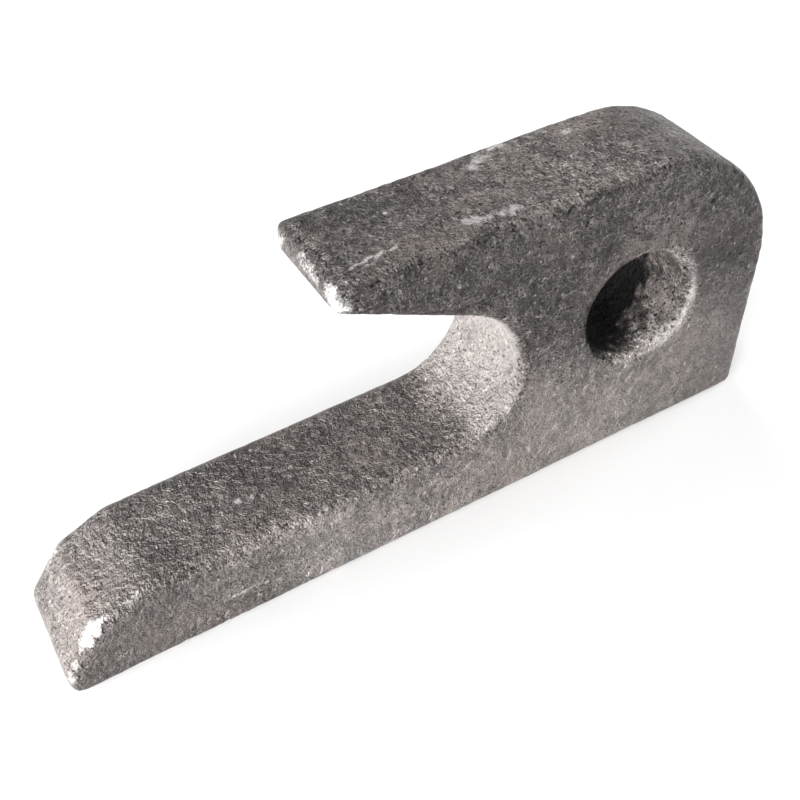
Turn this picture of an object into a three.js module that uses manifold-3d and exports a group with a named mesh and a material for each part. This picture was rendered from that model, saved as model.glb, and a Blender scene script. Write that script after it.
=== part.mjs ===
// Bucket tooth for a small excavator: one steel casting, a long lower leg and
// a short wedge-shaped jaw joined by a rear block that carries the cross pin.
//
// Millimetres, +Z up. +X runs from the nose of the leg to the rear block,
// +Y across the width. The origin is the centre of the footprint, on the
// flat underside.

import * as THREE from 'three';
import { mergeVertices } from 'three/addons/utils/BufferGeometryUtils.js';
import Module from 'manifold-3d';

const wasm = await Module();
wasm.setup();

const DEG = Math.PI / 180;

// ---- overall sizes --------------------------------------------------------

const LENGTH = 171.5; // nose to the rearmost point of the block
const HEIGHT = 72; // underside to the top of the jaw tip
const WIDTH = 28; // across the side faces
const EDGE_R = 3; // rounding along both side outlines
const BASE_EDGE_R = 1; // rounding of the two long edges underneath

// ---- leg and nose ---------------------------------------------------------

const LEG_H = 20; // thickness of the lower leg
const NOSE_FACE_H = 5; // upright face at the very front
const NOSE_SLOPE = 51 * DEG; // steep bevel above that face
const NOSE_SLOPE_H = 10.5; // rise of the steep bevel
const NOSE_TOP_SLOPE = 21.5 * DEG; // shallow bevel up to the leg top
const NOSE_R = EDGE_R + 1.5; // rounding between the two nose bevels
const NOSE_TOP_R = 10; // rounding from the shallow bevel to the leg top
const TOE_R = 1; // front corner underneath

// ---- mouth and jaw --------------------------------------------------------

const MOUTH_R = 16.7; // round root of the mouth
const MOUTH_DEPTH = 38.5; // jaw tip to the back of the root
const JAW_TIP_H = 2 * EDGE_R; // blunt end of the jaw
const JAW_LOW_R = 1; // lower corner of the jaw tip
const JAW_TOP_R = 3.5; // upper corner of the jaw tip
const TOP_FALL = 1.3 * DEG; // top face drops gently to the rear

// ---- rear block -----------------------------------------------------------

const REAR_R = 32; // big corner above the rear face
const REAR_LEAN = 6.5 * DEG; // rear face leans back as it rises
const HEEL_R = 3; // rear corner underneath

// ---- cross bore -----------------------------------------------------------

const PIN_D = 25; // pin the bore is made for
const PIN_PLAY = 0.5; // bore larger than its pin
const LIP_R = 2.6; // rounded mouth of the bore
const REAR_WALL = 21.7; // bore wall to the rearmost point
const WEB = 17.4; // bore wall to the root of the mouth

// ---- positions that follow from the sizes ---------------------------------

const BORE_R = (PIN_D + PIN_PLAY) / 2;
const BORE_X = LENGTH - REAR_WALL - BORE_R;
const ROOT_X = BORE_X - BORE_R - WEB - MOUTH_R;
const ROOT_Z = LEG_H + MOUTH_R;
const BORE_Z = ROOT_Z;
const JAW_X = ROOT_X + MOUTH_R - MOUTH_DEPTH;
const JAW_LOW_Z = HEIGHT - JAW_TIP_H;

// ---- fineness and working allowances --------------------------------------

const ARC_DIVISIONS = 8; // three.js draws twice this many chords per arc
const EDGE_STEPS = 5; // rows across each rounded side edge
const LIP_STEPS = 6; // rows across the bore's rounded mouth
const BORE_SIDES = 64; // flats around the bore
const OVERRUN = 6; // how far working shapes run past the finished faces
const WELD = 1e-5; // points closer than this are one point

const CAST_STEEL = 0x8c837f;

// A point of the outline: where two straight stretches meet, and how round.
function corner(x, z, r) {
  return { x, z, r };
}

// Draw an outline of straight stretches joined by tangent arcs.
function roundedOutline(corners) {
  const shape = new THREE.Shape();
  const count = corners.length;
  corners.forEach((here, i) => {
    const before = corners[(i + count - 1) % count];
    const after = corners[(i + 1) % count];
    const at = new THREE.Vector2(here.x, here.z);
    const toBefore = new THREE.Vector2(before.x - here.x, before.z - here.z).normalize();
    const toAfter = new THREE.Vector2(after.x - here.x, after.z - here.z).normalize();
    const half = Math.acos(toBefore.dot(toAfter)) / 2;
    const start = at.clone().addScaledVector(toBefore, here.r / Math.tan(half));
    if (i === 0) {
      shape.moveTo(start.x, start.y);
    } else {
      shape.lineTo(start.x, start.y);
    }
    if (here.r === 0) {
      return;
    }
    const end = at.clone().addScaledVector(toAfter, here.r / Math.tan(half));
    const inward = toBefore.clone().add(toAfter).normalize();
    const centre = at.clone().addScaledVector(inward, here.r / Math.sin(half));
    const from = Math.atan2(start.y - centre.y, start.x - centre.x);
    const to = Math.atan2(end.y - centre.y, end.x - centre.x);
    const clockwise = toBefore.cross(toAfter) > 0;
    shape.absarc(centre.x, centre.y, here.r, from, to, clockwise);
  });
  shape.closePath();
  return shape;
}

// Where the mouth's straight underside would meet the leg top: the underside
// starts at the jaw's lower corner and is tangent to the round root.
function mouthCornerX() {
  const run = ROOT_X - JAW_X;
  const drop = JAW_LOW_Z - ROOT_Z;
  const slope = Math.atan2(drop, run) - Math.asin(MOUTH_R / Math.hypot(run, drop));
  return ROOT_X + MOUTH_R / Math.tan(slope / 2);
}

// Where the top face and the leaning rear face would meet without the big
// corner, and where the rear face reaches a given height.
function rearFace() {
  const fall = Math.tan(TOP_FALL);
  const lean = Math.tan(REAR_LEAN);
  const centreX = LENGTH - REAR_R;
  const centreZ = HEIGHT - (centreX - JAW_X) * fall - REAR_R / Math.cos(TOP_FALL);
  const touchX = centreX + REAR_R * Math.cos(REAR_LEAN);
  const touchZ = centreZ - REAR_R * Math.sin(REAR_LEAN);
  const topX = (touchX + (HEIGHT + JAW_X * fall - touchZ) * lean) / (1 + fall * lean);
  const topZ = HEIGHT - (topX - JAW_X) * fall;
  const xAt = (z) => touchX + (z - touchZ) * lean;
  return { topX, topZ, xAt };
}

// The side outline, from the toe up over the nose, round the mouth and back
// along the top. `base` is its lowest height; `sharp` leaves the four small
// corners square.
function sideOutline(base, sharp) {
  const small = sharp ? 0 : 1;
  const slopeX = NOSE_SLOPE_H / Math.tan(NOSE_SLOPE);
  const slopeZ = NOSE_FACE_H + NOSE_SLOPE_H;
  const legTopX = slopeX + (LEG_H - slopeZ) / Math.tan(NOSE_TOP_SLOPE);
  const rear = rearFace();
  return roundedOutline([
    corner(0, base, TOE_R * small),
    corner(0, NOSE_FACE_H, NOSE_R),
    corner(slopeX, slopeZ, NOSE_R),
    corner(legTopX, LEG_H, NOSE_TOP_R),
    corner(mouthCornerX(), LEG_H, MOUTH_R),
    corner(JAW_X, JAW_LOW_Z, JAW_LOW_R * small),
    corner(JAW_X, HEIGHT, JAW_TOP_R * small),
    corner(rear.topX, rear.topZ, REAR_R),
    corner(rear.xAt(base), base, HEEL_R * small),
  ]);
}

// Turn a three.js geometry into a solid that can be joined and cut.
function toSolid(geometry) {
  const bare = geometry.clone();
  bare.deleteAttribute('normal');
  bare.deleteAttribute('uv');
  const welded = mergeVertices(bare, WELD);
  return new wasm.Manifold(new wasm.Mesh({
    numProp: 3,
    vertProperties: new Float32Array(welded.attributes.position.array),
    triVerts: new Uint32Array(welded.index.array),
  }));
}

// Turn a finished solid back into a three.js geometry.
function toGeometry(solid) {
  const mesh = solid.getMesh();
  const geometry = new THREE.BufferGeometry();
  geometry.setAttribute('position', new THREE.BufferAttribute(mesh.vertProperties, 3));
  geometry.setIndex(new THREE.BufferAttribute(mesh.triVerts, 1));
  const flat = geometry.toNonIndexed();
  flat.computeVertexNormals();
  return flat;
}

// Stand an extrusion drawn in X and Z upright, centred across the width.
function acrossWidth(geometry, width) {
  geometry.rotateX(Math.PI / 2);
  geometry.translate(0, width / 2, 0);
  return geometry;
}

// Full-width body with rounded side edges. It runs below the underside so
// that the rounding does not reach the flat base.
function edgeRoundedBody() {
  const geometry = new THREE.ExtrudeGeometry(sideOutline(-OVERRUN, true), {
    depth: WIDTH - 2 * EDGE_R,
    bevelEnabled: true,
    bevelThickness: EDGE_R,
    bevelSize: EDGE_R,
    bevelOffset: -EDGE_R,
    bevelSegments: EDGE_STEPS,
    curveSegments: ARC_DIVISIONS,
  });
  return toSolid(acrossWidth(geometry, WIDTH - 2 * EDGE_R));
}

// The true outline, wider than the part, that rounds the small corners and
// sets the flat base.
function cornerTrim() {
  const width = WIDTH + 2 * OVERRUN;
  const geometry = new THREE.ExtrudeGeometry(sideOutline(0, false), {
    depth: width,
    bevelEnabled: false,
    curveSegments: ARC_DIVISIONS,
  });
  return toSolid(acrossWidth(geometry, width));
}

// A long bar, wider than the part above and rounded along its two lower
// edges, that eases the long edges of the base.
function baseEdgeTrim() {
  const side = WIDTH / 2;
  const top = HEIGHT + OVERRUN;
  const section = roundedOutline([
    corner(-side, 0, BASE_EDGE_R),
    corner(-side, top, 0),
    corner(side, top, 0),
    corner(side, 0, BASE_EDGE_R),
  ]);
  const geometry = new THREE.ExtrudeGeometry(section, {
    depth: LENGTH + 2 * OVERRUN,
    bevelEnabled: false,
    curveSegments: ARC_DIVISIONS,
  });
  geometry.rotateX(Math.PI / 2);
  geometry.rotateZ(Math.PI / 2);
  geometry.translate(-OVERRUN, 0, 0);
  return toSolid(geometry);
}

// Cutter for the cross bore: a plain wall that flares in a quarter round at
// both side faces.
function boreCutter() {
  const side = WIDTH / 2;
  const wall = [];
  for (let i = 0; i <= LIP_STEPS; i += 1) {
    const turn = (i / LIP_STEPS) * (Math.PI / 2);
    const r = BORE_R + LIP_R * (1 - Math.cos(turn));
    const y = side - LIP_R * (1 - Math.sin(turn));
    wall.push(new THREE.Vector2(r, y));
  }
  const far = new THREE.Vector2(BORE_R + LIP_R, side + OVERRUN);
  const half = [...wall, far, new THREE.Vector2(0, far.y)];
  const mirrored = half.map((p) => new THREE.Vector2(p.x, -p.y)).reverse();
  const geometry = new THREE.LatheGeometry([...mirrored, ...half], BORE_SIDES);
  geometry.translate(BORE_X, 0, BORE_Z);
  return toSolid(geometry);
}

// The whole tooth is one casting.
function toothCasting() {
  const body = edgeRoundedBody().intersect(cornerTrim()).intersect(baseEdgeTrim());
  const bored = body.subtract(boreCutter());
  const geometry = toGeometry(bored);
  geometry.translate(-LENGTH / 2, 0, 0);
  const material = new THREE.MeshStandardMaterial({
    color: CAST_STEEL,
    roughness: 0.62,
    metalness: 0.55,
  });
  const mesh = new THREE.Mesh(geometry, material);
  mesh.name = 'tooth_casting';
  return mesh;
}

const tooth = new THREE.Group();
tooth.name = 'bucket_tooth';
tooth.add(toothCasting());

export default tooth;
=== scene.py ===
"""Bucket tooth: the cast steel body with its shot-blasted skin, and a small studio.

The body is a side outline swept across the width, with rounded side edges, a
flat base and a cross bore. It is then remeshed finely so that the casting's
waviness, pebbles, dents and worn edges are real relief.
"""

import math
from types import SimpleNamespace

import bmesh
import bpy
import numpy as np
from bpy.props import (
    FloatProperty,
    FloatVectorProperty,
    IntProperty,
    PointerProperty,
)
from mathutils import Matrix, Vector, noise


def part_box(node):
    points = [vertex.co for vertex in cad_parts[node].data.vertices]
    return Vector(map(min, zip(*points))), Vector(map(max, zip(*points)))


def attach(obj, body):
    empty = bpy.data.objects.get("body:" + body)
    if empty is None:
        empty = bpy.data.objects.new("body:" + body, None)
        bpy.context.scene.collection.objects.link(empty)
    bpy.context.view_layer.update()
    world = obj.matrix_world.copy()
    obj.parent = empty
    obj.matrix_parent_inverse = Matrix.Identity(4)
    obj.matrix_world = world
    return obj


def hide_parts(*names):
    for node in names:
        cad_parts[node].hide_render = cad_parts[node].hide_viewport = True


bl_info = {
    "name": "Bucket Tooth",
    "version": (1, 0, 0),
    "blender": (4, 5, 0),
    "location": "View3D > Sidebar > Bucket Tooth",
    "description": "Builds a cast steel bucket tooth and a studio to show it",
    "category": "Add Mesh",
}

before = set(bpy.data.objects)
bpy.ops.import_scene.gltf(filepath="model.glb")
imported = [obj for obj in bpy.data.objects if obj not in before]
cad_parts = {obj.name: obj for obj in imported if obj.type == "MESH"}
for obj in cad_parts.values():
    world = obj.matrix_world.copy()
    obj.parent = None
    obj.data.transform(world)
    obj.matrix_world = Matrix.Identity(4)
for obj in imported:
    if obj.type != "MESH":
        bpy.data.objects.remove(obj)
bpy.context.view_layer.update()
TOOTH_LOW, TOOTH_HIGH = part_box("tooth_casting")

MM = 0.001
NOSE_X = TOOTH_LOW[0]
REAR_X = TOOTH_HIGH[0]
BASE_Z = TOOTH_LOW[2]
SIDE_Y = TOOTH_HIGH[1]

# Blend of dark scale and steel that the rough skin's contrast swings about.
MID_TONE = 0.4

# The floor glows by itself out where the lights don't reach, and so does the horizon.
FLOOR_HALF = 3.0
FAR_GLOW = 0.95
HORIZON_GLOW = 0.9
LIGHTS_AIM = (0, 0, 0.03)


# ---- sizes, finish and studio settings ---------------------------------------


class ToothSizes(bpy.types.PropertyGroup):
    """The casting's own sizes."""

    height: FloatProperty(
        name="Height", description="Base to the top of the jaw tip",
        default=72.0 * MM, min=0.04, max=0.2, unit="LENGTH")
    leg_thickness: FloatProperty(
        name="Leg thickness", description="Base to the flat top of the leg",
        default=20.0 * MM, min=0.008, max=0.06, unit="LENGTH")
    nose_face: FloatProperty(
        name="Nose face", description="Height of the upright face at the front",
        default=5.0 * MM, min=0.001, max=0.02, unit="LENGTH")
    nose_slope: FloatProperty(
        name="Nose slope", description="Angle of the steep bevel above the nose face",
        default=math.radians(51.0), min=0.2, max=1.5, unit="ROTATION", subtype="ANGLE")
    nose_slope_rise: FloatProperty(
        name="Nose slope rise", description="Height that the steep bevel climbs",
        default=10.5 * MM, min=0.001, max=0.03, unit="LENGTH")
    nose_top_slope: FloatProperty(
        name="Nose top slope", description="Angle of the shallow bevel up to the leg top",
        default=math.radians(21.5), min=0.1, max=1.2, unit="ROTATION", subtype="ANGLE")
    nose_rounding: FloatProperty(
        name="Nose rounding", description="Radius between the nose bevels",
        default=4.5 * MM, min=0.001, max=0.02, unit="LENGTH")
    nose_top_rounding: FloatProperty(
        name="Nose top rounding", description="Radius where the nose runs into the leg top",
        default=10.0 * MM, min=0.001, max=0.03, unit="LENGTH")
    mouth_radius: FloatProperty(
        name="Mouth radius", description="Radius of the round root of the mouth",
        default=16.7 * MM, min=0.005, max=0.04, unit="LENGTH")
    mouth_depth: FloatProperty(
        name="Mouth depth", description="Jaw tip to the back of the root",
        default=38.5 * MM, min=0.01, max=0.1, unit="LENGTH")
    jaw_tip: FloatProperty(
        name="Jaw tip", description="Height of the jaw's blunt end",
        default=6.0 * MM, min=0.002, max=0.02, unit="LENGTH")
    jaw_rounding: FloatProperty(
        name="Jaw rounding", description="Radius of the upper corner of the jaw tip",
        default=3.5 * MM, min=0.0005, max=0.01, unit="LENGTH")
    top_fall: FloatProperty(
        name="Top fall", description="How much the top face drops towards the rear",
        default=math.radians(1.3), min=0.0, max=0.2, unit="ROTATION", subtype="ANGLE")
    rear_radius: FloatProperty(
        name="Rear radius", description="Radius of the big corner above the rear face",
        default=32.0 * MM, min=0.005, max=0.06, unit="LENGTH")
    rear_lean: FloatProperty(
        name="Rear lean", description="How far the rear face leans back from upright",
        default=math.radians(6.5), min=0.0, max=0.5, unit="ROTATION", subtype="ANGLE")
    edge_radius: FloatProperty(
        name="Edge radius", description="Rounding along both side outlines",
        default=3.0 * MM, min=0.0005, max=0.01, unit="LENGTH")
    base_edge: FloatProperty(
        name="Base edge", description="Rounding of the corners underneath",
        default=1.0 * MM, min=0.0002, max=0.005, unit="LENGTH")
    heel_radius: FloatProperty(
        name="Heel radius", description="Rounding of the rear corner underneath",
        default=3.0 * MM, min=0.0005, max=0.01, unit="LENGTH")
    bore_radius: FloatProperty(
        name="Bore radius", description="Wall radius of the cross bore",
        default=12.75 * MM, min=0.003, max=0.03, unit="LENGTH")
    bore_lip: FloatProperty(
        name="Bore lip", description="Radius of the bore's rounded mouths",
        default=2.6 * MM, min=0.0005, max=0.008, unit="LENGTH")
    rear_wall: FloatProperty(
        name="Rear wall", description="Bore wall to the rearmost point",
        default=21.7 * MM, min=0.005, max=0.06, unit="LENGTH")
    web: FloatProperty(
        name="Web", description="Bore wall to the root of the mouth",
        default=17.4 * MM, min=0.005, max=0.06, unit="LENGTH")


class SkinFinish(bpy.types.PropertyGroup):
    """Relief and colours of the as-cast skin."""

    grid: FloatProperty(
        name="Grid", description="Size of the skin's mesh squares",
        default=0.66 * MM, min=0.0004, max=0.003, unit="LENGTH")
    waviness: FloatProperty(
        name="Waviness", description="Depth of the casting's broad waves",
        default=0.13 * MM, min=0.0, max=0.001, unit="LENGTH")
    pebbles: FloatProperty(
        name="Pebbles", description="Depth of the pebbled skin",
        default=0.055 * MM, min=0.0, max=0.001, unit="LENGTH")
    seed: IntProperty(
        name="Seed", description="Picks where the marks fall", default=7, min=0)
    steel: FloatVectorProperty(
        name="Steel", description="Colour of the blasted steel",
        default=(0.295, 0.265, 0.249), size=3, min=0.0, max=1.0, subtype="COLOR")
    scale: FloatVectorProperty(
        name="Dark scale", description="Colour in the hollows of the skin",
        default=(0.060, 0.052, 0.0495), size=3, min=0.0, max=1.0, subtype="COLOR")
    warm: FloatVectorProperty(
        name="Warm patches", description="Faint brown patches left by the heat",
        default=(0.200, 0.166, 0.153), size=3, min=0.0, max=1.0, subtype="COLOR")
    # Colour of the steel where the painted light is strongest.
    clean: FloatVectorProperty(
        name="Clean steel", description="Colour where the blast has hit straight on",
        default=(0.222, 0.213, 0.209), size=3, min=0.0, max=1.0, subtype="COLOR")
    # Also the colour of the painted glints and painted highlights.
    bright: FloatVectorProperty(
        name="Worn metal", description="Colour of rubbed edges and scratches",
        default=(0.62, 0.595, 0.58), size=3, min=0.0, max=1.0, subtype="COLOR")


class StudioSettings(bpy.types.PropertyGroup):
    """Camera, floor and lights."""

    azimuth: FloatProperty(
        name="Azimuth", description="Camera's turn round the tooth",
        default=math.radians(-24.58), unit="ROTATION", subtype="ANGLE")
    elevation: FloatProperty(
        name="Elevation", description="Camera's height above the horizon",
        default=math.radians(43.77), unit="ROTATION", subtype="ANGLE")
    roll: FloatProperty(
        name="Roll", description="Camera's turn about its own line of sight",
        default=math.radians(-6.42), unit="ROTATION", subtype="ANGLE")
    distance: FloatProperty(
        name="Distance", description="Camera to the point it looks at",
        default=249.56 * MM, min=0.05, max=5.0, unit="LENGTH")
    aim: FloatVectorProperty(
        name="Aim", description="Point the camera looks at",
        default=(-2.88 * MM, -4.37 * MM, 30.6 * MM), size=3, unit="LENGTH")
    lens: FloatProperty(
        name="Lens", description="Focal length on a 36 mm sensor, in millimetres",
        default=53.8, min=10.0, max=300.0)
    floor: FloatVectorProperty(
        name="Floor", description="Colour of the floor",
        default=(0.86, 0.86, 0.86), size=3, min=0.0, max=1.0, subtype="COLOR")
    floor_glow: FloatProperty(
        name="Floor glow", description="Light that the floor gives off by itself",
        default=0.13, min=0.0, max=5.0)
    sky: FloatProperty(
        name="Sky", description="Brightness of the even light all round",
        default=0.08, min=0.0, max=5.0)
    nose_power: FloatProperty(
        name="Nose light", description="Power of the low light beyond the nose, in watts",
        default=7.0, min=0.0, max=500.0)
    front_power: FloatProperty(
        name="Front light", description="Power of the light at the near left, in watts",
        default=6.3, min=0.0, max=500.0)
    rear_power: FloatProperty(
        name="Rear light", description="Power of the light behind the heel, in watts",
        default=2.45, min=0.0, max=500.0)
    far_power: FloatProperty(
        name="Far light", description="Power of the high light on the far side, in watts",
        default=3.0, min=0.0, max=500.0)


# ---- outline of the body -----------------------------------------------------


def side_positions(s):
    """Where the bore, the mouth's root and the jaw stand, from the sizes."""
    bore_x = REAR_X - s.rear_wall - s.bore_radius
    root_x = bore_x - s.bore_radius - s.web - s.mouth_radius
    root_z = BASE_Z + s.leg_thickness + s.mouth_radius
    jaw_x = root_x + s.mouth_radius - s.mouth_depth
    return bore_x, root_x, root_z, jaw_x


def mouth_corner(s):
    """Where the mouth's underside would meet the leg top: it is tangent to the root."""
    _, root_x, root_z, jaw_x = side_positions(s)
    run = root_x - jaw_x
    drop = BASE_Z + s.height - s.jaw_tip - root_z
    slope = math.atan2(drop, run) - math.asin(s.mouth_radius / math.hypot(run, drop))
    return root_x + s.mouth_radius / math.tan(slope / 2)


def rear_line(s):
    """The corner of the top and rear faces, and the rear face's x at any height."""
    _, _, _, jaw_x = side_positions(s)
    fall, lean = math.tan(s.top_fall), math.tan(s.rear_lean)
    top = BASE_Z + s.height
    centre_x = REAR_X - s.rear_radius
    centre_z = top - (centre_x - jaw_x) * fall - s.rear_radius / math.cos(s.top_fall)
    touch_x = centre_x + s.rear_radius * math.cos(s.rear_lean)
    touch_z = centre_z - s.rear_radius * math.sin(s.rear_lean)
    corner_x = (touch_x + (top + jaw_x * fall - touch_z) * lean) / (1 + fall * lean)
    corner_z = top - (corner_x - jaw_x) * fall
    return corner_x, corner_z, lambda z: touch_x + (z - touch_z) * lean


def side_corners(s, base, small):
    """Corners of the side outline as (x, z, radius). `small` keeps the small radii."""
    _, _, _, jaw_x = side_positions(s)
    slope_x = NOSE_X + s.nose_slope_rise / math.tan(s.nose_slope)
    slope_z = BASE_Z + s.nose_face + s.nose_slope_rise
    leg_top = BASE_Z + s.leg_thickness
    leg_x = slope_x + (leg_top - slope_z) / math.tan(s.nose_top_slope)
    corner_x, corner_z, rear_x = rear_line(s)
    return [
        (NOSE_X, base, s.base_edge * small),
        (NOSE_X, BASE_Z + s.nose_face, s.nose_rounding),
        (slope_x, slope_z, s.nose_rounding),
        (leg_x, leg_top, s.nose_top_rounding),
        (mouth_corner(s), leg_top, s.mouth_radius),
        (jaw_x, BASE_Z + s.height - s.jaw_tip, s.base_edge * small),
        (jaw_x, BASE_Z + s.height, s.jaw_rounding * small),
        (corner_x, corner_z, s.rear_radius),
        (rear_x(base), base, s.heel_radius * small),
    ]


def sweep_corner(bm, before, here, after, y):
    """Sweep one rounded corner as a run of vertices, and return them in order."""
    at = Vector((here[0], here[1]))
    to_before = (Vector(before[:2]) - at).normalized()
    to_after = (Vector(after[:2]) - at).normalized()
    radius = here[2]
    if radius == 0:
        return [bm.verts.new((at.x, y, at.y))]
    half = math.acos(to_before.dot(to_after)) / 2
    start = at + to_before * (radius / math.tan(half))
    end = at + to_after * (radius / math.tan(half))
    centre = at + (to_before + to_after).normalized() * (radius / math.sin(half))
    from_angle = math.atan2(start.y - centre.y, start.x - centre.x)
    to_angle = math.atan2(end.y - centre.y, end.x - centre.x)
    turn = (to_angle - from_angle + math.pi) % (2 * math.pi) - math.pi
    first = bm.verts.new((start.x, y, start.y))
    steps = max(4, math.ceil(abs(turn) / math.radians(5.0)))
    bmesh.ops.spin(
        bm, geom=[first], cent=(centre.x, y, centre.y), axis=(0, 1, 0),
        angle=-turn, steps=steps, use_duplicate=False, use_merge=False)
    run = [first]
    while True:
        onward = [e.other_vert(run[-1]) for e in run[-1].link_edges]
        onward = [v for v in onward if v not in run]
        if not onward:
            return run
        run.append(onward[0])


def draw_prism(corners, half_width):
    """A solid across the width with the given side outline."""
    bm = bmesh.new()
    runs = []
    for i, here in enumerate(corners):
        after = corners[(i + 1) % len(corners)]
        runs.append(sweep_corner(bm, corners[i - 1], here, after, -half_width))
    for i, run in enumerate(runs):
        bm.edges.new((runs[i - 1][-1], run[0]))
    side = bmesh.ops.contextual_create(bm, geom=bm.edges[:])["faces"]
    swept = bmesh.ops.extrude_face_region(bm, geom=side)["geom"]
    moved = [v for v in swept if isinstance(v, bmesh.types.BMVert)]
    bmesh.ops.translate(bm, verts=moved, vec=(0, 2 * half_width, 0))
    bmesh.ops.recalc_face_normals(bm, faces=bm.faces)
    return bm


# ---- the body and its cuts ---------------------------------------------------


def new_piece(bm, name):
    """Put a finished bmesh in the scene as an object at the origin."""
    mesh = bpy.data.meshes.new(name)
    bm.to_mesh(mesh)
    bm.free()
    piece = bpy.data.objects.new(name, mesh)
    bpy.context.scene.collection.objects.link(piece)
    return piece


def settle(piece):
    """Make the piece's modifiers part of its mesh."""
    graph = bpy.context.evaluated_depsgraph_get()
    mesh = bpy.data.meshes.new_from_object(piece.evaluated_get(graph))
    old = piece.data
    piece.modifiers.clear()
    piece.data = mesh
    mesh.name = piece.name
    bpy.data.meshes.remove(old)


def combine(piece, tool, operation):
    """Cut the piece with a tool, or keep only what both share, and drop the tool."""
    step = piece.modifiers.new(operation.title(), "BOOLEAN")
    step.operation = operation
    step.solver = "EXACT"
    step.object = tool
    settle(piece)
    bpy.data.objects.remove(tool)
    if not piece.data.polygons:
        raise RuntimeError(f"{operation} left nothing of {piece.name}")


def edge_rounded_body(s, name):
    """Full-width body with rounded side edges, running on below the base."""
    bm = draw_prism(side_corners(s, BASE_Z - 2 * s.edge_radius, 0), SIDE_Y)
    rims = [e for e in bm.edges if abs(e.verts[0].co.y + e.verts[1].co.y) > SIDE_Y]
    bmesh.ops.bevel(
        bm, geom=rims, offset=s.edge_radius, offset_type="OFFSET", segments=8,
        profile=0.5, affect="EDGES", clamp_overlap=False, material=-1)
    bmesh.ops.recalc_face_normals(bm, faces=bm.faces)
    return new_piece(bm, name)


def corner_trim(s):
    """The true outline, wider than the body, with its small corners rounded."""
    return new_piece(draw_prism(side_corners(s, BASE_Z, 1), SIDE_Y * 1.5), "corner_trim")


def base_trim(s):
    """A bar larger than the body except below and beside, with eased lower edges."""
    bm = bmesh.new()
    bmesh.ops.create_cube(bm, size=1.0)
    length, height = (REAR_X - NOSE_X) * 1.2, s.height * 1.2
    bmesh.ops.scale(bm, vec=(length, 2 * SIDE_Y, height), verts=bm.verts)
    middle = ((NOSE_X + REAR_X) / 2, 0, BASE_Z + height / 2)
    bmesh.ops.translate(bm, vec=middle, verts=bm.verts)
    low = [v for v in bm.verts if v.co.z < BASE_Z + s.base_edge]
    lines = [e for e in bm.edges
             if all(v in low for v in e.verts) and abs(e.verts[0].co.y - e.verts[1].co.y) < MM]
    bmesh.ops.bevel(
        bm, geom=lines, offset=s.base_edge, offset_type="OFFSET", segments=4,
        profile=0.5, affect="EDGES", material=-1)
    return new_piece(bm, "base_trim")


def bore_cutter(s):
    """A plug with the bore's wall and its flared mouths, spun about the pin's axis."""
    bore_x, _, root_z, _ = side_positions(s)
    bm = bmesh.new()
    far = SIDE_Y + 2 * s.bore_lip
    line = [bm.verts.new((bore_x, -far, root_z))]
    line.append(bm.verts.new((bore_x + s.bore_radius + s.bore_lip, -far, root_z)))
    for side in (-1, 1):
        lip = Vector((bore_x + s.bore_radius + s.bore_lip, side * (SIDE_Y - s.bore_lip), root_z))
        start = lip + Vector((0, -s.bore_lip, 0)) if side < 0 else lip - Vector((s.bore_lip, 0, 0))
        first = bm.verts.new(start)
        line.append(first)
        ends = bmesh.ops.spin(
            bm, geom=[first], cent=lip, axis=(0, 0, 1), angle=-math.pi / 2,
            steps=8, use_duplicate=False, use_merge=False)["geom_last"]
        bm.edges.new(line[-2:])
        line.append([v for v in ends if isinstance(v, bmesh.types.BMVert)][0])
    line.append(bm.verts.new((bore_x + s.bore_radius + s.bore_lip, far, root_z)))
    bm.edges.new(line[-2:])
    line.append(bm.verts.new((bore_x, far, root_z)))
    bm.edges.new(line[-2:])
    bm.edges.new(line[:2])
    bmesh.ops.spin(
        bm, geom=bm.verts[:] + bm.edges[:], cent=(bore_x, 0, root_z), axis=(0, 1, 0),
        angle=2 * math.pi, steps=96, use_duplicate=False, use_merge=True)
    bmesh.ops.remove_doubles(bm, verts=bm.verts, dist=0.001 * MM)
    bmesh.ops.recalc_face_normals(bm, faces=bm.faces)
    return new_piece(bm, "bore_cutter")


def remesh_evenly(piece, size):
    """Give the piece a fine even mesh that can carry the skin's relief."""
    step = piece.modifiers.new("Even skin", "REMESH")
    step.mode = "VOXEL"
    step.voxel_size = size
    step.adaptivity = 0.0
    settle(piece)
    bm = bmesh.new()
    bm.from_mesh(piece.data)
    for _ in range(2):
        bmesh.ops.smooth_vert(
            bm, verts=bm.verts, factor=0.5, use_axis_x=True, use_axis_y=True, use_axis_z=True)
    bmesh.ops.recalc_face_normals(bm, faces=bm.faces)
    bm.to_mesh(piece.data)
    bm.free()
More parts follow.
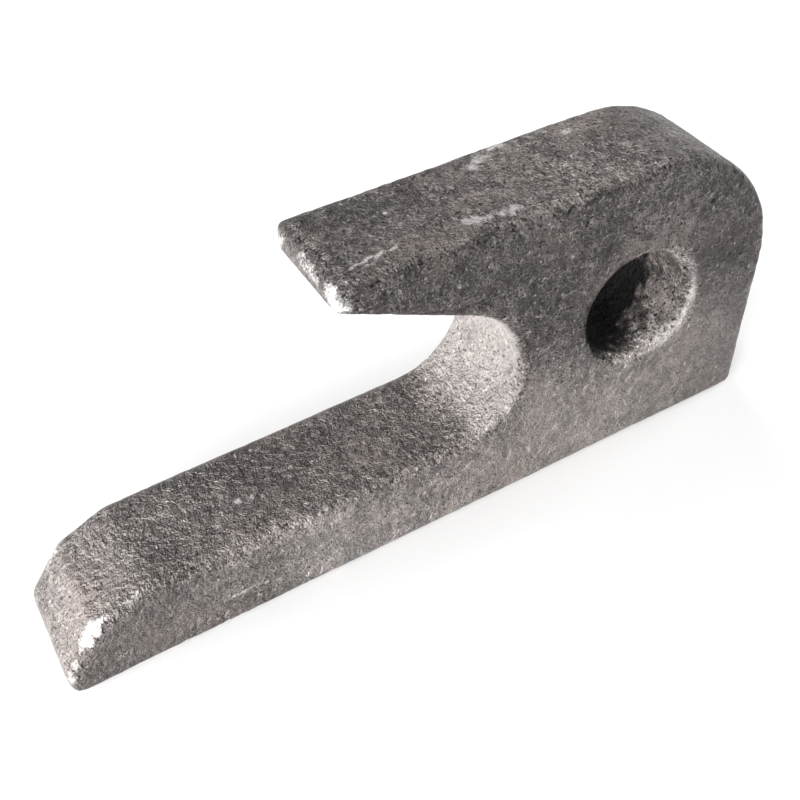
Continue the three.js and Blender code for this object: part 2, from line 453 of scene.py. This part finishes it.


# ---- relief, marks, and painted light and shade on the skin ------------------

# Scratches as (points, half width, depth, brightness), in millimetres from the middle
# of the footprint.
SCRAPES = (
    (((-11.9, -8.9, 71.9), (-10.2, -8.1, 71.9), (-8.8, -8.3, 71.8), (-7.3, -7.4, 71.8),
      (-6.1, -8.1, 71.8), (-4.4, -7.1, 71.7), (-2.8, -7.7, 71.7), (-1.4, -7.2, 71.7)),
     0.26, 0.10, 1.0),
    (((-10.4, -10.0, 71.9), (-8.2, -9.3, 71.8), (-6.0, -9.2, 71.8)), 0.2, 0.06, 0.6),
    (((-6.6, -6.4, 71.8), (-4.9, -6.6, 71.7)), 0.2, 0.05, 0.5),
    (((39.6, -0.2, 70.7), (38.9, -6.3, 70.7)), 0.25, 0.04, 0.3),
    (((35.5, 1.2, 70.8), (39.5, -0.6, 70.7)), 0.25, 0.04, 0.35),
    (((-50.7, -14.0, 8.0), (-46.7, -14.0, 7.6), (-41.8, -14.0, 7.1)), 0.3, 0.05, 0.6),
    (((-52.0, -14.0, 7.0), (-47.0, -14.0, 6.8)), 0.2, 0.04, 0.45),
    (((-33.0, 14.0, 12.5), (-24.0, 14.0, 9.5), (-19.0, 14.0, 9.0)), 0.4, 0.07, 0.5),
    (((20.0, 14.0, 58.0), (26.0, 14.0, 61.5)), 0.4, 0.05, 0.4),
    (((81.5, -4.0, 44.0), (83.0, 1.0, 36.0)), 0.5, 0.05, 0.4),
)

# Soft smears as (points, half width, brightness); the last is a painted highlight on the near rear
# top corner.
SMEARS_AND_SHEEN = (
    (((24.2, 7.3, 71.1), (27.4, 9.5, 71.0)), 1.8, 0.75),
    (((30.0, 11.3, 70.9), (32.5, 12.2, 70.9)), 1.4, 0.95),
    (((13.4, -8.2, 71.3), (16.4, -8.5, 71.2)), 1.6, 0.70),
    (((18.5, -9.0, 71.2), (23.0, -9.2, 71.1)), 1.4, 0.80),
    (((46.0, 8.4, 70.6), (48.0, 7.7, 70.5)), 0.9, 0.80),
    (((39.5, -1.0, 70.7), (39.0, -6.0, 70.7)), 0.5, 0.50),
    (((-41.4, -1.9, 20.0), (-36.1, -3.2, 20.0)), 0.6, 0.80),
    # A painted highlight on the near rear top corner.
    (((66.0, -13.6, 60.5), (74.0, -13.6, 55.0)), 0.7, 0.35),
)

# Rubbed places as (points, half width, strength), where metal shows through the skin; they also
# paint the highlights on the nose and jaw tip corners.
RUBS_AND_HIGHLIGHTS = (
    (((-81.0, -12.7, 13.0), (-76.5, -12.6, 17.8)), 2.6, 0.95),
    (((-84.9, -12.6, 4.0), (-81.0, -12.7, 13.0)), 1.3, 0.45),
    (((-76.5, -12.6, 17.8), (-68.0, -12.8, 19.0)), 1.4, 0.40),
    (((-82.5, 8.0, 9.0), (-81.5, -8.0, 10.0)), 2.0, 0.20),
    (((-17.2, -13.0, 67.2), (-16.4, -10.5, 69.2)), 2.5, 0.90),
    (((-17.2, -5.0, 69.3), (-17.2, 2.0, 69.6)), 1.5, 0.50),
    (((-16.6, 3.0, 70.0), (-16.6, 12.0, 70.0)), 1.3, 0.2),
    (((-82.0, 12.7, 11.5), (-76.5, 12.6, 17.8)), 1.8, 0.7),
    (((-17.2, 13.0, 67.2), (-16.4, 10.5, 69.2)), 1.6, 0.7),
)

# Nicks as (place, radius, depth), in millimetres.
NICKS = (
    ((59.9, -14.0, 25.6), 0.9, 0.50),
    ((-17.2, 7.5, 71.0), 1.1, 0.25),
    ((-79.5, -13.0, 13.5), 1.3, 0.20),
    ((-62.0, 14.0, 18.8), 1.2, 0.35),
    ((68.0, 13.6, 66.0), 1.4, 0.30),
    ((-52.0, -14.0, 0.3), 1.0, 0.25),
)


# Lightness of the skin, as (millimetres, factors there). The factors were set by trial:
# they are painted light and shade, which make up for how the lights fall. The first two
# are for the sides, by height and by length, and the others for what faces up.
SIDE_BY_HEIGHT = ((8, 20, 36, 62), (1.18, 1.12, 0.96, 0.66))
SIDE_BY_LENGTH = ((-75, -60, -45, -30, -12, 15, 30, 62, 78),
                  (0.47, 0.57, 0.92, 1.18, 1.08, 0.95, 1.05, 1.05, 0.75))
LEVEL_BY_LENGTH = ((-75, -20, 20), (0.76, 0.88, 1.0))
BLOCK_TOP_BY_LENGTH = ((-10, 5, 20, 45, 60), (0.8, 0.95, 0.95, 1.33, 1.12))


def distance_to_line(points, ends):
    """Shortest distance from each point to a run of straight stretches."""
    best = np.full(len(points), np.inf)
    for a, b in zip(ends[:-1], ends[1:]):
        a, b = np.array(a), np.array(b)
        along = np.clip((points - a) @ (b - a) / ((b - a) @ (b - a)), 0.0, 1.0)
        best = np.minimum(best, np.linalg.norm(points - a - along[:, None] * (b - a), axis=1))
    return best


def smooth_step(low, high, value):
    """0 below low, 1 above high, and a soft ramp between."""
    t = np.clip((value - low) / (high - low), 0.0, 1.0)
    return t * t * (3.0 - 2.0 * t)


def faded(factor, share):
    """The factor where share is 1, and no change where it is 0."""
    return 1.0 + share * (factor - 1.0)


def edge_sharpness(mesh, places, normals):
    """How strongly the surface bends outwards at each vertex, per millimetre."""
    ends = np.empty(len(mesh.edges) * 2, dtype=np.int32)
    mesh.edges.foreach_get("vertices", ends)
    a, b = ends.reshape(-1, 2).T
    step = places[b] - places[a]
    bend = ((normals[b] - normals[a]) * step).sum(1) / np.maximum((step * step).sum(1), 1e-9)
    count = np.bincount(a, minlength=len(places)) + np.bincount(b, minlength=len(places))
    for _ in range(4):
        total = np.bincount(a, bend, len(places)) + np.bincount(b, bend, len(places))
        value = total / np.maximum(count, 1)
        bend = (value[a] + value[b]) / 2
    return value


def read_vectors(mesh, key):
    """The place or the normal of every vertex, as rows."""
    flat = np.empty(len(mesh.vertices) * 3)
    mesh.vertices.foreach_get(key, flat)
    return flat.reshape(-1, 3)


class Skin:
    """The skin's points in millimetres, which way they face, and random values there."""

    def __init__(self, mesh, seed):
        self.places = read_vectors(mesh, "co") / MM
        self.normals = read_vectors(mesh, "normal")
        self.x, self.y, self.z = self.places.T
        self.sharp = edge_sharpness(mesh, self.places, self.normals)
        self.waves = self.grain(18.0, seed) + 0.25 * self.grain(6.5, seed + 1)
        pebbles = self.grain(2.6, seed + 2) + 0.8 * self.grain(1.4, seed + 3)
        pocks = smooth_step(0.42, 0.7, self.grain(1.9, seed + 4))
        self.pebbled = pebbles - 1.6 * pocks
        self.ragged = self.grain(1.1, seed + 5)
        self.broken = self.grain(2.3, seed + 9)
        self.patchy = 0.5 + 0.5 * self.grain(4.0, seed + 6)
        self.cloudy = 0.5 * self.grain(5.0, seed + 7) + 0.5 * self.grain(1.6, seed + 8)
        self.facing_side = smooth_step(0.3, 0.85, np.abs(self.normals[:, 1]))
        self.facing_up = smooth_step(0.6, 0.95, self.normals[:, 2])
        self.on_top = self.facing_up * smooth_step(50.0, 60.0, self.z)
        self.upper_side = self.facing_side * smooth_step(22.0, 46.0, self.z + 8.0 * self.cloudy)

    def grain(self, size, seed):
        """Smooth random value at each point, with features of about the given size."""
        shift = Vector((seed * 3.7, seed * 1.3, seed * 7.1))
        return np.array([noise.noise(Vector(p) / size + shift) for p in self.places])


def scrape_depth_and_shine(skin):
    """How deep the scratches cut, and how bright they and the smears are."""
    deep = np.zeros(len(skin.places))
    shine = np.zeros(len(skin.places))
    for ends, half_width, depth, brightness in SCRAPES:
        away = distance_to_line(skin.places, ends) + 0.15 * skin.ragged
        inside = 1.0 - smooth_step(0.6 * half_width, half_width + 0.35, away)
        inside *= smooth_step(-0.6, -0.2, skin.broken)
        deep += depth * inside
        shine = np.maximum(shine, brightness * inside)
    for ends, half_width, brightness in SMEARS_AND_SHEEN:
        away = distance_to_line(skin.places, ends) + 1.3 * skin.ragged + 1.2 * skin.broken
        inside = 1.0 - smooth_step(0.2 * half_width, 1.5 * half_width, away)
        shine = np.maximum(shine, brightness * inside)
    return deep, shine


def nick_depth(skin):
    """How deep the nicks are at each point."""
    deep = np.zeros(len(skin.places))
    for place, radius, depth in NICKS:
        away = np.linalg.norm(skin.places - np.array(place), axis=1) + 0.25 * skin.ragged
        deep += depth * (1.0 - smooth_step(0.3 * radius, radius, away))
    return deep


def edge_wear_and_highlights(skin):
    """Edges show a little wear all along, and metal on the nose and jaw tip, which also paints the
    highlights there.
    """
    worn = 0.12 * smooth_step(0.10, 0.30, skin.sharp) * (0.3 + skin.patchy)
    for ends, half_width, strength in RUBS_AND_HIGHLIGHTS:
        away = distance_to_line(skin.places, ends) + 0.9 * skin.broken + 0.5 * skin.ragged
        inside = 1.0 - smooth_step(0.3 * half_width, 1.6 * half_width, away)
        worn = np.maximum(worn, strength * inside)
    return worn


def round_the_bore(skin, sizes):
    """Each point's distance from the bore's axis, and how far to the rear of it, to 1."""
    bore_x, _, bore_z, _ = (v / MM for v in side_positions(sizes))
    away = np.hypot(skin.x - bore_x, skin.z - bore_z)
    return away, (skin.x - bore_x) / np.maximum(away, 0.1)


def on_bore_wall(skin, sizes):
    """1 on the bore's wall, 0 outside its lip."""
    away, _ = round_the_bore(skin, sizes)
    radius, lip = sizes.bore_radius / MM, sizes.bore_lip / MM
    return 1.0 - smooth_step(radius + 0.2 * lip, radius + lip, away)


def bore_painted_shade_and_light(skin, sizes):
    """Painted shade deep in the bore, painted light on its rear wall, and a painted highlight
    along its rear lip.
    """
    away, rearward = round_the_bore(skin, sizes)
    # Painted shade darkens the wall deep in and on its front; painted light lifts it near the
    # mouths, deepest along the rear.
    depth_lit = 9.5 - 8.0 * rearward
    reach = -skin.y - depth_lit + 6.0 * skin.cloudy + 4.0 * skin.ragged
    reach = np.maximum(smooth_step(-4.0, 4.0, reach), smooth_step(11.5, 13.0, skin.y))
    wall = 1.0 - on_bore_wall(skin, sizes) * (0.94 - (2.5 + 1.6 * skin.broken) * reach)
    # A painted highlight along the rear of each lip.
    lip_middle = (sizes.bore_radius + 0.6 * sizes.bore_lip) / MM
    on_lip = np.exp(-((away - lip_middle) / 1.6) ** 2) * smooth_step(0.1, 0.8, rearward)
    return wall * (1.0 + (1.0 + 0.8 * skin.ragged) * on_lip)


def in_mouth_root(skin, sizes):
    """1 in the root of the mouth, 0 away from it."""
    _, root_x, root_z, _ = (v / MM for v in side_positions(sizes))
    radius = sizes.mouth_radius / MM
    away = np.hypot(skin.x - root_x, skin.z - root_z)
    near = 1.0 - smooth_step(radius + 0.5, radius + 3.0, away)
    return near * smooth_step(-2.0, 10.0, skin.x - root_x)


def painted_lightness(skin, sizes):
    """Painted light and shade on the skin: lightest in the root of the mouth and low on the sides.
    """
    # Painted light low on the sides, and painted shade high on them and towards the nose.
    side = np.interp(skin.z + 6.0 * skin.cloudy, *SIDE_BY_HEIGHT)
    side *= np.interp(skin.x, *SIDE_BY_LENGTH)
    tone = faded(side, skin.facing_side)
    # Painted shade on the jaw tip's end and along the top edges.
    on_jaw_tip = smooth_step(0.3, 0.7, -skin.normals[:, 0]) * smooth_step(62.0, 66.0, skin.z)
    on_top_edge = smooth_step(0.08, 0.25, skin.sharp) * smooth_step(50.0, 62.0, skin.z)
    tone *= faded(0.7, on_jaw_tip) * faded(0.8, on_top_edge)
    # Painted light and shade on what faces up, by length.
    tone *= faded(np.interp(skin.x, *LEVEL_BY_LENGTH), skin.facing_up)
    tone *= faded(np.interp(skin.x, *BLOCK_TOP_BY_LENGTH), skin.on_top)
    # Painted light in the root of the mouth, and the bore's painted shade and light.
    return tone * faded(1.6, in_mouth_root(skin, sizes)) * bore_painted_shade_and_light(skin, sizes)


def coarseness(skin, sizes):
    """The nose and the low sides of the block are smoothest, and the upper sides rough."""
    smooth = smooth_step(10.0, 26.0, skin.x + 8.0 * skin.cloudy) * skin.facing_side
    smooth *= 1.0 - smooth_step(14.0, 34.0, skin.z + 10.0 * skin.cloudy)
    smooth = np.maximum(smooth, 1.0 - smooth_step(-72.0, -50.0, skin.x))
    rough = np.maximum(on_bore_wall(skin, sizes), 0.6 * skin.on_top)
    return 1.0 - 0.2 * smooth + 0.9 * np.maximum(skin.upper_side, rough)


def weather_skin(piece, sizes, finish):
    """Raise the skin's waves and pebbles, cut its marks, and note the wear, the painted highlights
    and the painted light and shade.
    """
    mesh = piece.data
    skin = Skin(mesh, finish.seed)
    deep, shine = scrape_depth_and_shine(skin)
    worn = edge_wear_and_highlights(skin)
    pebble_height = finish.pebbles * (1.0 + 1.8 * skin.upper_side + 0.8 * skin.on_top)
    lift = finish.waviness * skin.waves + pebble_height * skin.pebbled
    lift -= MM * (deep + nick_depth(skin) + 0.06 * worn)

    moved = skin.places * MM + skin.normals * lift[:, None]
    moved[:, 2] = np.maximum(moved[:, 2], BASE_Z)
    mesh.vertices.foreach_set("co", moved.ravel())
    # The lightness mark is painted light and shade; the wear and scratch marks also carry painted
    # highlights.
    for name, values in (
            ("scraped", shine), ("worn", worn), ("blasted", painted_lightness(skin, sizes)),
            ("coarse", coarseness(skin, sizes))):
        layer = mesh.attributes.new(name, "FLOAT", "POINT")
        layer.data.foreach_set("value", values.astype(np.float32))
    mesh.shade_smooth()
    mesh.update()


# ---- steel finish ------------------------------------------------------------


def add_node(tree, kind, settings=(), **inputs):
    """A shader node with its settings and unlinked inputs given; links come as sockets."""
    made = tree.nodes.new(kind)
    for key, value in dict(settings).items():
        setattr(made, key, value)
    for key, value in inputs.items():
        socket = made.inputs[int(key[1:])] if key[0] == "i" and key[1:].isdigit() \
            else made.inputs[key.replace("_", " ")]
        if isinstance(value, bpy.types.NodeSocket):
            tree.links.new(value, socket)
        else:
            socket.default_value = value
    return made


def speckle(tree, place, size, detail, kind="FBM", roughness=0.6):
    """Noise with features of about `size` metres."""
    made = add_node(
        tree, "ShaderNodeTexNoise", {"noise_dimensions": "3D", "noise_type": kind},
        Vector=place, Scale=1.0 / size, Detail=detail, Roughness=roughness)
    return made.outputs[0]


def ramp(tree, value, low, high, to_low=0.0, to_high=1.0):
    """Stretch a value from one range to another, and stop at its ends."""
    made = add_node(
        tree, "ShaderNodeMapRange", {"clamp": True}, Value=value, From_Min=low,
        From_Max=high, To_Min=to_low, To_Max=to_high)
    return made.outputs[0]


def sum_of(tree, *terms):
    """Weighted sum of values, given as (value, weight) pairs."""
    total = None
    for value, weight in terms:
        scaled = add_node(tree, "ShaderNodeMath", {"operation": "MULTIPLY"}, i0=value, i1=weight)
        if total is None:
            total = scaled.outputs[0]
        else:
            joined = add_node(tree, "ShaderNodeMath", {"operation": "ADD"},
                              i0=total, i1=scaled.outputs[0])
            total = joined.outputs[0]
    return total


def product(tree, a, b):
    """One value times another."""
    return add_node(tree, "ShaderNodeMath", {"operation": "MULTIPLY"}, i0=a, i1=b).outputs[0]


def blend_colour(tree, share, a, b):
    """Colour a where share is 0 and colour b where it is 1."""
    made = tree.nodes.new("ShaderNodeMix")
    made.data_type = "RGBA"
    for socket, value in ((made.inputs[0], share), (made.inputs[6], a), (made.inputs[7], b)):
        if isinstance(value, bpy.types.NodeSocket):
            tree.links.new(value, socket)
        else:
            socket.default_value = value
    return made.outputs[2]


def times_colour(tree, colour, factor):
    """A colour made lighter or darker by a factor."""
    made = add_node(tree, "ShaderNodeVectorMath", {"operation": "SCALE"}, i0=colour, Scale=factor)
    return made.outputs[0]


def skin_grains(tree):
    """The skin's noises on object coordinates, and the marks stored on its mesh."""
    place = add_node(tree, "ShaderNodeTexCoord").outputs["Object"]
    grains = SimpleNamespace(
        crinkle=speckle(tree, place, 1.7 * MM, 4.0, roughness=0.62),
        ridges=speckle(tree, place, 2.4 * MM, 3.0, kind="RIDGED_MULTIFRACTAL"),
        grit=speckle(tree, place, 0.5 * MM, 2.0),
        pits=ramp(tree, speckle(tree, place, 1.0 * MM, 1.0), 0.38, 0.28),
        glint_specks=ramp(tree, speckle(tree, place, 0.9 * MM, 1.0), 0.66, 0.74),
        patches=speckle(tree, place, 14.0 * MM, 3.0),
        cloud=speckle(tree, place, 30.0 * MM, 3.0),
        blotch=speckle(tree, place, 3.6 * MM, 2.0))
    for name in ("scraped", "worn", "blasted", "coarse"):
        mark = add_node(tree, "ShaderNodeAttribute", {"attribute_name": name})
        setattr(grains, name, mark.outputs["Fac"])
    rubbing_and_sheen = sum_of(tree, (grains.scraped, 1.0), (grains.worn, 0.9), (grains.grit, 0.6),
                     (grains.crinkle, 0.9))
    grains.rubbed = ramp(tree, rubbing_and_sheen, 1.0, 1.65)
    return grains


def skin_colour(tree, grains, finish):
    """Crests catch the blast and shine, and pits are darkened with dark scale and painted shade;
    painted glints, painted highlights and painted light and shade go on top.
    """
    scale, steel, warm, clean, bright = (
        (*colour, 1.0) for colour in
        (finish.scale, finish.steel, finish.warm, finish.clean, finish.bright))
    fleck = sum_of(tree, (grains.ridges, 0.25), (grains.grit, 0.85), (grains.crinkle, 0.35))
    mottle = sum_of(tree, (fleck, 0.55), (grains.cloud, 0.25), (grains.blotch, 0.2))
    contrast = sum_of(tree, (ramp(tree, mottle, 0.50, 0.70), 1.0), (MID_TONE, -1.0))
    # Where the painted light is strongest, the skin is made lighter and greyer with fewer dark
    # pits: more painted light.
    painted_lit = product(tree, ramp(tree, grains.blasted, 1.2, 1.8),
                      ramp(tree, grains.coarse, 1.0, 1.9, 1.0, 0.2))
    tone = sum_of(tree, (product(tree, contrast, grains.coarse), 1.0), (painted_lit, 0.3),
                  (MID_TONE, 1.0))
    skin = blend_colour(tree, tone, scale, steel)
    skin = blend_colour(tree, ramp(tree, grains.patches, 0.50, 0.70, 0.0, 0.6), skin, warm)
    skin = blend_colour(tree, product(tree, painted_lit, 0.65), skin, clean)
    # Pits are darkened down to a fifth: dark scale and painted shade in the hollows.
    pit_darkening = product(tree, grains.coarse, ramp(tree, painted_lit, 0.0, 1.0, 1.0, 0.4))
    pit_scale_and_shade = product(tree, grains.pits, pit_darkening)
    skin = times_colour(tree, skin, ramp(tree, pit_scale_and_shade, 0.0, 1.0, 1.1, 0.2))
    # Painted glints: bright specks in the colour, most on the rough upper sides.
    glints = product(tree, grains.glint_specks, ramp(tree, grains.coarse, 1.0, 1.7, 0.25, 0.75))
    skin = blend_colour(tree, glints, skin, bright)
    # Painted light and shade multiply the colour.
    skin = times_colour(tree, skin, grains.blasted)
    # Metal showing through, which also paints the highlights on the nose and jaw tip corners and
    # the smears' sheen.
    return blend_colour(tree, grains.rubbed, skin, bright)


def skin_bump(tree, grains):
    """Normals bent by the fine crinkle, more on the rough sides, less where metal shows and a
    highlight is painted.
    """
    height = sum_of(tree, (grains.crinkle, 1.1), (grains.ridges, 0.2), (grains.grit, 0.25),
                    (grains.pits, -0.2))
    height = product(tree, height, ramp(tree, grains.coarse, 1.0, 1.9, 1.0, 1.6))
    strength = product(tree, grains.coarse, ramp(tree, grains.rubbed, 0.0, 1.0, 1.0, 0.35))
    bump = add_node(
        tree, "ShaderNodeBump", Strength=strength, Distance=2.6 * MM, Height=height)
    return bump.outputs[0]


def cast_steel(finish):
    """Blasted cast steel: crinkled grey skin, dark hollows, warm patches, edge wear, and painted
    light, shade, highlights and glints.
    """
    steel = bpy.data.materials.new("blasted_cast_steel")
    steel.use_nodes = True
    tree = steel.node_tree
    tree.nodes.clear()
    grains = skin_grains(tree)
    dullness = sum_of(tree, (grains.crinkle, 0.5), (grains.patches, 0.5))
    shader = add_node(
        tree, "ShaderNodeBsdfPrincipled", Base_Color=skin_colour(tree, grains, finish),
        Roughness=ramp(tree, dullness, 0.35, 0.65, 0.30, 0.48), Metallic=0.6,
        Normal=skin_bump(tree, grains))
    add_node(tree, "ShaderNodeOutputMaterial", Surface=shader.outputs[0])
    return steel


# ---- studio ------------------------------------------------------------------


def soft_light(name, place, width, height, power):
    """A rectangular light that faces the tooth and isn't seen itself."""
    lamp = bpy.data.lights.new(name, "AREA")
    lamp.shape = "RECTANGLE"
    lamp.size = width
    lamp.size_y = height
    lamp.energy = power
    made = bpy.data.objects.new(name, lamp)
    made.location = place
    made.rotation_mode = "QUATERNION"
    made.rotation_quaternion = (Vector(LIGHTS_AIM) - Vector(place)).to_track_quat("-Z", "Y")
    made.visible_camera = False
    bpy.context.scene.collection.objects.link(made)


def floor_paint(colour, glow):
    """Pale matt paint that glows by itself, more where the lights don't reach."""
    paint = bpy.data.materials.new("pale_floor")
    paint.use_nodes = True
    tree = paint.node_tree
    coat = tree.nodes["Principled BSDF"]
    coat.inputs["Base Color"].default_value = (*colour, 1.0)
    coat.inputs["Roughness"].default_value = 0.9
    coat.inputs["Specular IOR Level"].default_value = 0.1
    coat.inputs["Emission Color"].default_value = (1.0, 1.0, 1.0, 1.0)
    place = add_node(tree, "ShaderNodeTexCoord").outputs["Object"]
    far_off = add_node(tree, "ShaderNodeVectorMath", {"operation": "LENGTH"}, i0=place)
    glowing = ramp(tree, far_off.outputs["Value"], 0.3, 0.7, glow, FAR_GLOW)
    tree.links.new(glowing, coat.inputs["Emission Strength"])
    return paint


def pale_floor(colour, glow):
    """A wide floor just below the tooth."""
    bm = bmesh.new()
    bmesh.ops.create_grid(bm, x_segments=1, y_segments=1, size=FLOOR_HALF)
    bmesh.ops.translate(bm, verts=bm.verts, vec=(0, 0, BASE_Z - 0.05 * MM))
    floor = new_piece(bm, "studio_floor")
    floor.data.materials.append(floor_paint(colour, glow))


def studio_sky(strength):
    """Even white light all round, brighter at the horizon."""
    world = bpy.data.worlds.new("studio_sky")
    world.use_nodes = True
    tree = world.node_tree
    sky = tree.nodes["Background"]
    sky.inputs["Color"].default_value = (1.0, 1.0, 1.0, 1.0)
    way = add_node(tree, "ShaderNodeSeparateXYZ",
                   i0=add_node(tree, "ShaderNodeTexCoord").outputs["Generated"])
    brightness = ramp(tree, way.outputs["Z"], 0.08, 0.16, HORIZON_GLOW, strength)
    tree.links.new(brightness, sky.inputs["Strength"])
    return world


def point_camera(studio):
    """Camera at the given angles, distance and roll about its line of sight."""
    lens = bpy.data.cameras.new("camera")
    lens.sensor_width = 36.0
    lens.lens = studio.lens
    lens.clip_start = 10 * MM
    camera = bpy.data.objects.new("camera", lens)
    flat = math.cos(studio.elevation)
    back = Vector((
        math.sin(studio.azimuth) * flat,
        -math.cos(studio.azimuth) * flat,
        math.sin(studio.elevation)))
    camera.location = Vector(studio.aim) + back * studio.distance
    camera.rotation_mode = "QUATERNION"
    level = (-back).to_track_quat("-Z", "Y")
    camera.rotation_quaternion = level @ Matrix.Rotation(studio.roll, 3, "Z").to_quaternion()
    bpy.context.scene.collection.objects.link(camera)
    bpy.context.scene.camera = camera


# ---- operators ---------------------------------------------------------------


class TOOTH_OT_body(bpy.types.Operator):
    """Model the casting, give it its relief and finish, and put it on the frame"""

    bl_idname = "tooth.body"
    bl_label = "Tooth body"
    bl_options = {"REGISTER", "UNDO"}

    def execute(self, context):
        sizes = context.scene.tooth_sizes
        finish = context.scene.tooth_finish
        body = edge_rounded_body(sizes, "tooth_body")
        combine(body, corner_trim(sizes), "INTERSECT")
        combine(body, base_trim(sizes), "INTERSECT")
        combine(body, bore_cutter(sizes), "DIFFERENCE")
        remesh_evenly(body, finish.grid)
        weather_skin(body, sizes, finish)
        body.data.materials.clear()
        body.data.materials.append(cast_steel(finish))
        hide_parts("tooth_casting")
        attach(body, "root")
        return {"FINISHED"}


class TOOTH_OT_studio(bpy.types.Operator):
    """Lay the floor, hang the lights and set the camera"""

    bl_idname = "tooth.studio"
    bl_label = "Studio"
    bl_options = {"REGISTER", "UNDO"}

    def execute(self, context):
        studio = context.scene.tooth_studio
        pale_floor(studio.floor, studio.floor_glow)
        soft_light("nose_light", (-0.60, 0.0, 0.08), 0.35, 0.16, studio.nose_power)
        soft_light("front_light", (-0.50, -0.35, 0.15), 0.3, 0.3, studio.front_power)
        soft_light("rear_light", (0.50, -0.10, 0.30), 0.4, 0.3, studio.rear_power)
        soft_light("far_light", (0.0, 0.50, 0.50), 0.6, 0.4, studio.far_power)
        context.scene.world = studio_sky(studio.sky)
        context.scene.view_settings.view_transform = "Standard"
        point_camera(studio)
        return {"FINISHED"}


class TOOTH_PT_sidebar(bpy.types.Panel):
    """The tooth's sizes, finish and studio"""

    bl_idname = "TOOTH_PT_sidebar"
    bl_label = "Bucket Tooth"
    bl_space_type = "VIEW_3D"
    bl_region_type = "UI"
    bl_category = "Bucket Tooth"

    def draw(self, context):
        for group, action in (
                ("tooth_sizes", None),
                ("tooth_finish", TOOTH_OT_body.bl_idname),
                ("tooth_studio", TOOTH_OT_studio.bl_idname)):
            settings = getattr(context.scene, group)
            column = self.layout.column(align=True)
            for key in settings.bl_rna.properties.keys():
                if key not in ("rna_type", "name"):
                    column.prop(settings, key)
            if action:
                self.layout.operator(action)


CLASSES = (
    ToothSizes,
    SkinFinish,
    StudioSettings,
    TOOTH_OT_body,
    TOOTH_OT_studio,
    TOOTH_PT_sidebar,
)


def register():
    for cls in CLASSES:
        bpy.utils.register_class(cls)
    bpy.types.Scene.tooth_sizes = PointerProperty(type=ToothSizes)
    bpy.types.Scene.tooth_finish = PointerProperty(type=SkinFinish)
    bpy.types.Scene.tooth_studio = PointerProperty(type=StudioSettings)


def unregister():
    del bpy.types.Scene.tooth_studio
    del bpy.types.Scene.tooth_finish
    del bpy.types.Scene.tooth_sizes
    for cls in reversed(CLASSES):
        bpy.utils.unregister_class(cls)


def main():
    """Build everything in order."""
    register()
    bpy.ops.tooth.body()
    bpy.ops.tooth.studio()


if __name__ == "__main__":
    main()
